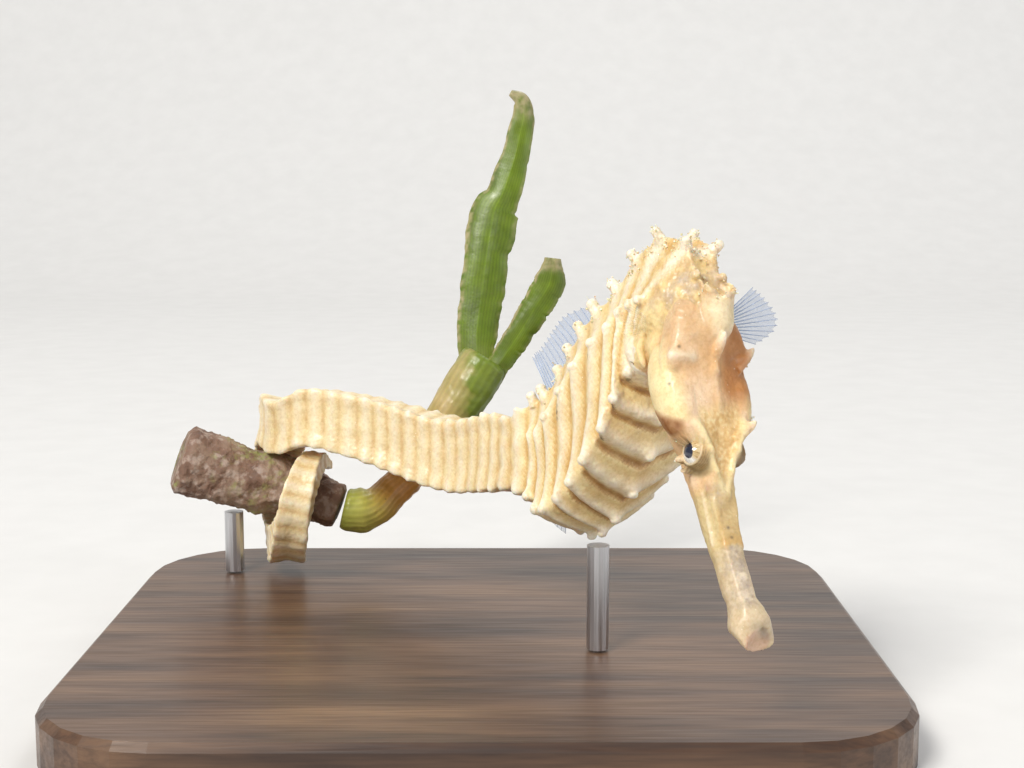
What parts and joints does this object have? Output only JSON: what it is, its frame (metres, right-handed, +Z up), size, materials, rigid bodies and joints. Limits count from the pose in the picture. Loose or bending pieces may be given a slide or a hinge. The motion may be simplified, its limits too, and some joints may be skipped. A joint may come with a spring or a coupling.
{
  "type": "seahorse gripping a plant stem, life-size display model",
  "caption": "Seahorse with its tail coiled round a cut length of plant stem, head bent down, held level by short rods on a flat base with rounded corners.",
  "frame": {"origin": "middle of the underside of the stand base, on the floor", "axes": "+Z up; -Y towards the viewer the snout points to; +X to that viewer's right; the tail runs away and to -X"},
  "size_m": [0.09, 0.0809, 0.0697],
  "materials": {
    "skin_cream": "moist skin over bony rings",
    "skin_pale": "rough pale crown",
    "eye_dark": "wet and glossy",
    "fin_clear": "clear membrane on fine rays",
    "stem_brown": "rough, overgrown",
    "leaf_green": "smooth leaf",
    "base_wood": "satin dark wood",
    "rod_steel": "brushed"
  },
  "bodies": {
    "root": {"head": "skin_cream", "snout": "skin_cream", "coronet": "skin_pale", "eye_right": "eye_dark", "eye_left": "eye_dark", "nape": "skin_cream", "trunk_front": "skin_cream", "trunk_rear": "skin_cream", "tail_base": "skin_cream", "tail_middle": "skin_cream", "tail_bend": "skin_cream", "tail_over": "skin_cream", "tail_behind": "skin_cream", "tail_under": "skin_cream", "tail_tip": "skin_cream", "dorsal_fin": "fin_clear", "anal_fin": "fin_clear", "pectoral_fin_right": "fin_clear", "pectoral_fin_left": "fin_clear", "perch_stem": "stem_brown", "perch_shoot": "leaf_green", "stand_base": "base_wood", "stand_rod_perch": "rod_steel", "stand_rod_body": "rod_steel"}
  },
  "joints": []
}
